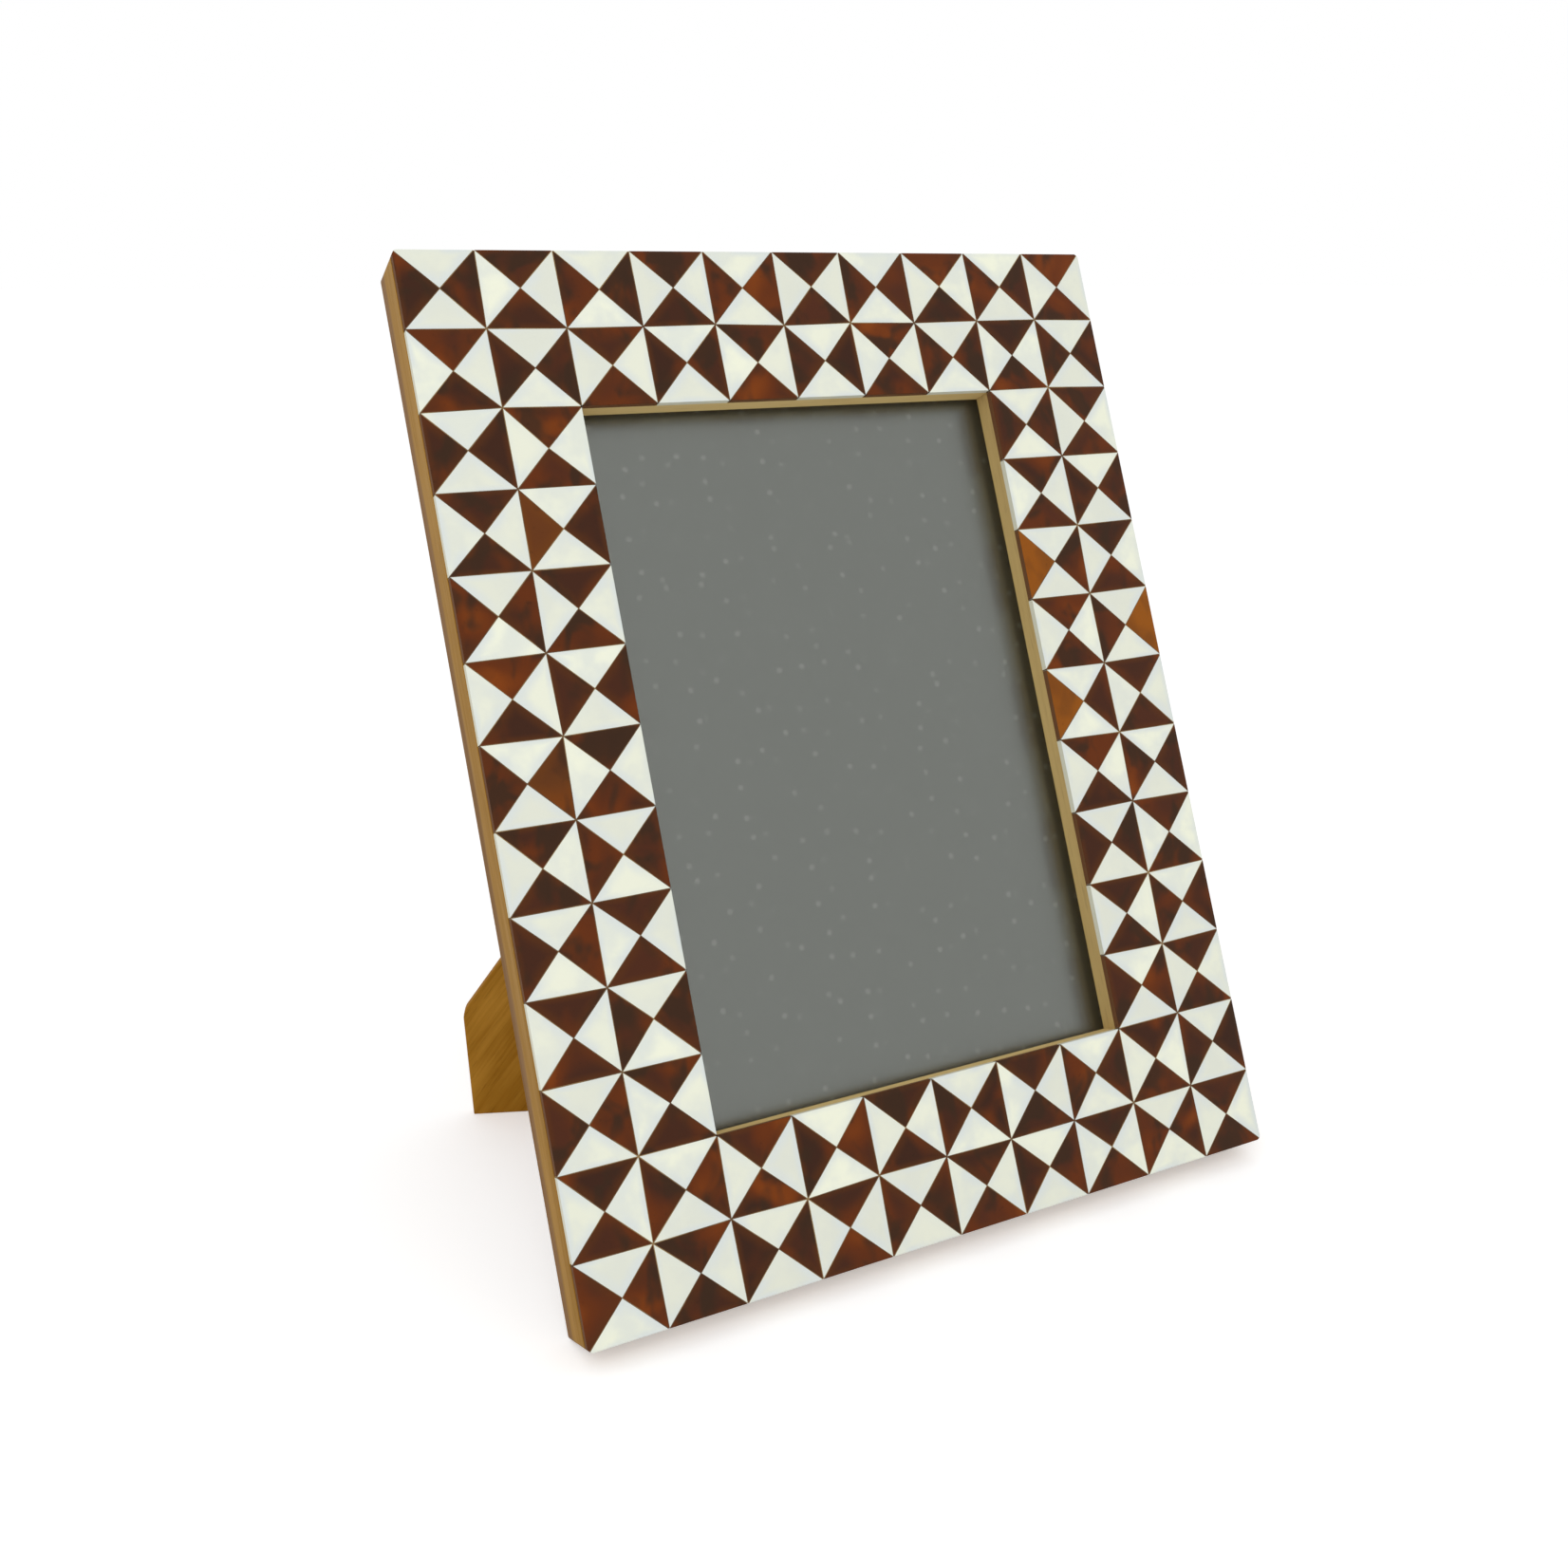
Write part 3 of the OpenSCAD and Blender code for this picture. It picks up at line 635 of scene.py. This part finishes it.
# The strut. A thin board of brown stained wood, 40 mm wide and 3 mm thick, hinged to the
# panel at a slant. Its foot is bevelled to stand level, and its left side is sawn to a
# slanting line, on which the frame can lie sideways.
hinge_x, pin_y, hinge_z = 1 * mm, 16.6 * mm, 150 * mm
strut_slant, strut_open = math.radians(40), math.radians(33.5)
strut_w, strut_t, strut_seat, strut_edge = 40 * mm, 3 * mm, 1.9 * mm, 0.25 * mm
heel_l, leaf_t, stop_air = 5 * mm, 0.9 * mm, 0.3 * mm
foot_r, foot_steps = 6 * mm, 8

folded = Vector((-math.sin(strut_slant), 0, -math.cos(strut_slant)))
rearwards = Vector((0, 1, 0))
along = folded * math.cos(strut_open) + rearwards * math.sin(strut_open)
off = rearwards * math.cos(strut_open) - folded * math.sin(strut_open)
wide = Vector((-math.cos(strut_slant), 0, math.sin(strut_slant)))
at_strut = Matrix((along, wide, off)).transposed().to_4x4()
at_strut.translation = (hinge_x, pin_y, hinge_z)
strut_wood = wood("stained_hardwood", (leaning_back @ at_strut).inverted(),
                  pale=(0.500, 0.245, 0.034), deep=(0.245, 0.095, 0.002), contrast=0.85,
                  gloss=0.5, shine=0.03, bands_per_m=(13, 75, 60), cloudy=0.5)

# the tip, where the middle of the strut's front face meets the table
pin_height = (leaning_back @ at_strut @ Vector((0, 0, strut_seat))).z
strut_l = pin_height / -(leaning_back.to_3x3() @ along).z
tip = at_strut @ Vector((strut_l, 0, strut_seat))

# lying on its left side, the frame rests on its eased rear edge and on a cut through that tip
edge_x, edge_y = arris_r - face_w / 2, rail_back - arris_r
tip_x, tip_y = tip.x - edge_x, tip.y - edge_y
side_lean = math.atan2(tip_x, tip_y) + math.asin(arris_r / math.hypot(tip_x, tip_y))


def above_side_table(length):
    """How high the strut's left edge then lies over the table, at a length from the pin."""
    point = at_strut @ Vector((length, strut_w / 2, strut_seat))
    inwards, depth = point.x - edge_x, point.y - edge_y
    return inwards * math.cos(side_lean) - depth * math.sin(side_lean) + arris_r


at_pin, at_tip = above_side_table(0), above_side_table(strut_l)
foot_corner = strut_l * at_pin / (at_pin - at_tip)
foot_turn = math.atan2(strut_w / 2, strut_l - foot_corner)

strut = bmesh.new()
outline = [(-heel_l, -strut_w / 2), (-heel_l, strut_w / 2), (foot_corner, strut_w / 2),
           (foot_corner + strut_w / math.tan(foot_turn), -strut_w / 2)]
front = strut.faces.new([strut.verts.new((x, y, strut_seat)) for x, y in outline])
pull(strut, [front], (0, 0, strut_t))
foot_edge = [e for e in strut.edges
             if all(v.co.x > foot_corner - touching and v.co.y > strut_w / 2 - touching
                    for v in e.verts)]
ease(strut, foot_edge, foot_r * math.tan(foot_turn / 2), foot_steps)
bmesh.ops.transform(strut, matrix=at_strut, verts=strut.verts)
slice_off(strut, (hinge_x, pin_y - strut_seat + leaf_t + stop_air, hinge_z), -rearwards)
close_up(strut)
bmesh.ops.transform(strut, matrix=leaning_back, verts=strut.verts)
slice_off(strut, (0, 0, 0), (0, 0, -1))
close_up(strut)
ease(strut, sharp_edges(strut, 20), strut_edge, 3)
strut = piece_from("strut_board", strut, strut_wood)
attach(strut, "strut")
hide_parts("easel_strut")

# The hinge's moving leaf, of the same brass plated steel, with two knuckles and two slotted
# screws into the strut.
for node, name, edge in (("hinge_moving_leaf", "moving_hinge_leaf", leaf_edge),
                         ("moving_leaf_screws", "strut_hinge_screws", leaf_screw_edge)):
    part = piece_from(name, sheet(node, edge, 2), brass)
    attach(part, "strut")
    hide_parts(node)

# The turn buttons. Six stamped brass plated strips, each turning on a slotted screw in the
# rail and lapping over the back panel.
button_edge, button_screw_edge = 0.18 * mm, 0.09 * mm

for place in ("top_left", "top_right", "left", "right", "bottom_left", "bottom_right"):
    strip = sheet("turn_button_" + place, button_edge, 3)
    button = piece_from("button_" + place, strip, brass)
    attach(button, "button_" + place)
    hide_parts("turn_button_" + place)
screws = piece_from("button_screws", sheet("turn_button_screws", button_screw_edge, 2), brass)
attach(screws, "frame")
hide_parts("turn_button_screws")

# The studio. A white floor and a white surround, even soft light, and one large lamp in
# front, up and to the left. The camera stands in front and to the left, about as high as
# the top of the frame.
floor_reach, floor_white, floor_glow = 30, (0.9, 0.9, 0.9, 1), 0.34
white, soft_light, seen_light = (1, 1, 1, 1), 0.75, 1
lamp_side, lamp_watts = 1.0, 6
lamp_at, lamp_aim = (-0.7, -1.0, 1.1), Vector((0, 0, 0.1))
camera_at, camera_looks = (-0.18117, -0.3229, 0.22766), Vector((0.42797, 0.84618, -0.31753))
lens, sensor_width, nearest, farthest = 34.825, 36, 0.01, 100

floor = bpy.data.objects.new("floor", bpy.data.meshes.new("floor"))
flat = bmesh.new()
bmesh.ops.create_grid(flat, x_segments=1, y_segments=1, size=floor_reach)
flat.to_mesh(floor.data)
flat.free()
bpy.context.scene.collection.objects.link(floor)
ground = Finish("white_floor")
to_camera = ground.add("LightPath").outputs["Is Camera Ray"]
ground.coat(Base_Color=floor_white, Roughness=1, Specular_IOR_Level=0, Emission_Color=white,
            Emission_Strength=ground.times(to_camera, floor_glow))
floor.data.materials.append(ground.material)

# the surround lights the frame softly, but is pure white where it is seen or mirrored
world = bpy.data.worlds.new("studio")
world.use_nodes = True
bpy.context.scene.world = world
nodes, links = world.node_tree.nodes, world.node_tree.links
soft, pure = nodes["Background"], nodes.new("ShaderNodeBackground")
for light, strength in ((soft, soft_light), (pure, seen_light)):
    light.inputs["Color"].default_value = white
    light.inputs["Strength"].default_value = strength
rays = nodes.new("ShaderNodeLightPath")
seen = rays.outputs["Is Camera Ray"]
for kind in ("Is Glossy Ray", "Is Transmission Ray"):
    either = nodes.new("ShaderNodeMath")
    either.operation = "MAXIMUM"
    links.new(seen, either.inputs[0])
    links.new(rays.outputs[kind], either.inputs[1])
    seen = either.outputs[0]
choice = nodes.new("ShaderNodeMixShader")
for socket, source in enumerate((seen, soft.outputs[0], pure.outputs[0])):
    links.new(source, choice.inputs[socket])
links.new(choice.outputs[0], nodes["World Output"].inputs["Surface"])

lamp = bpy.data.objects.new("lamp", bpy.data.lights.new("lamp", "AREA"))
lamp.data.shape = "RECTANGLE"
lamp.data.size, lamp.data.size_y = lamp_side, lamp_side
lamp.data.energy = lamp_watts
lamp.location = lamp_at
lamp.rotation_euler = (lamp_aim - lamp.location).to_track_quat("-Z", "Y").to_euler()
bpy.context.scene.collection.objects.link(lamp)

camera = bpy.data.objects.new("camera", bpy.data.cameras.new("camera"))
bpy.context.scene.collection.objects.link(camera)
looks = camera_looks.normalized()
rightwards = looks.cross(Vector((0, 0, 1))).normalized()
upwards = rightwards.cross(looks)
stand = Matrix((rightwards, upwards, -looks)).transposed().to_4x4()
stand.translation = camera_at
camera.matrix_world = stand
camera.data.sensor_fit = "HORIZONTAL"
camera.data.sensor_width, camera.data.lens = sensor_width, lens
camera.data.clip_start, camera.data.clip_end = nearest, farthest
bpy.context.scene.camera = camera
bpy.context.scene.view_settings.view_transform = "Standard"
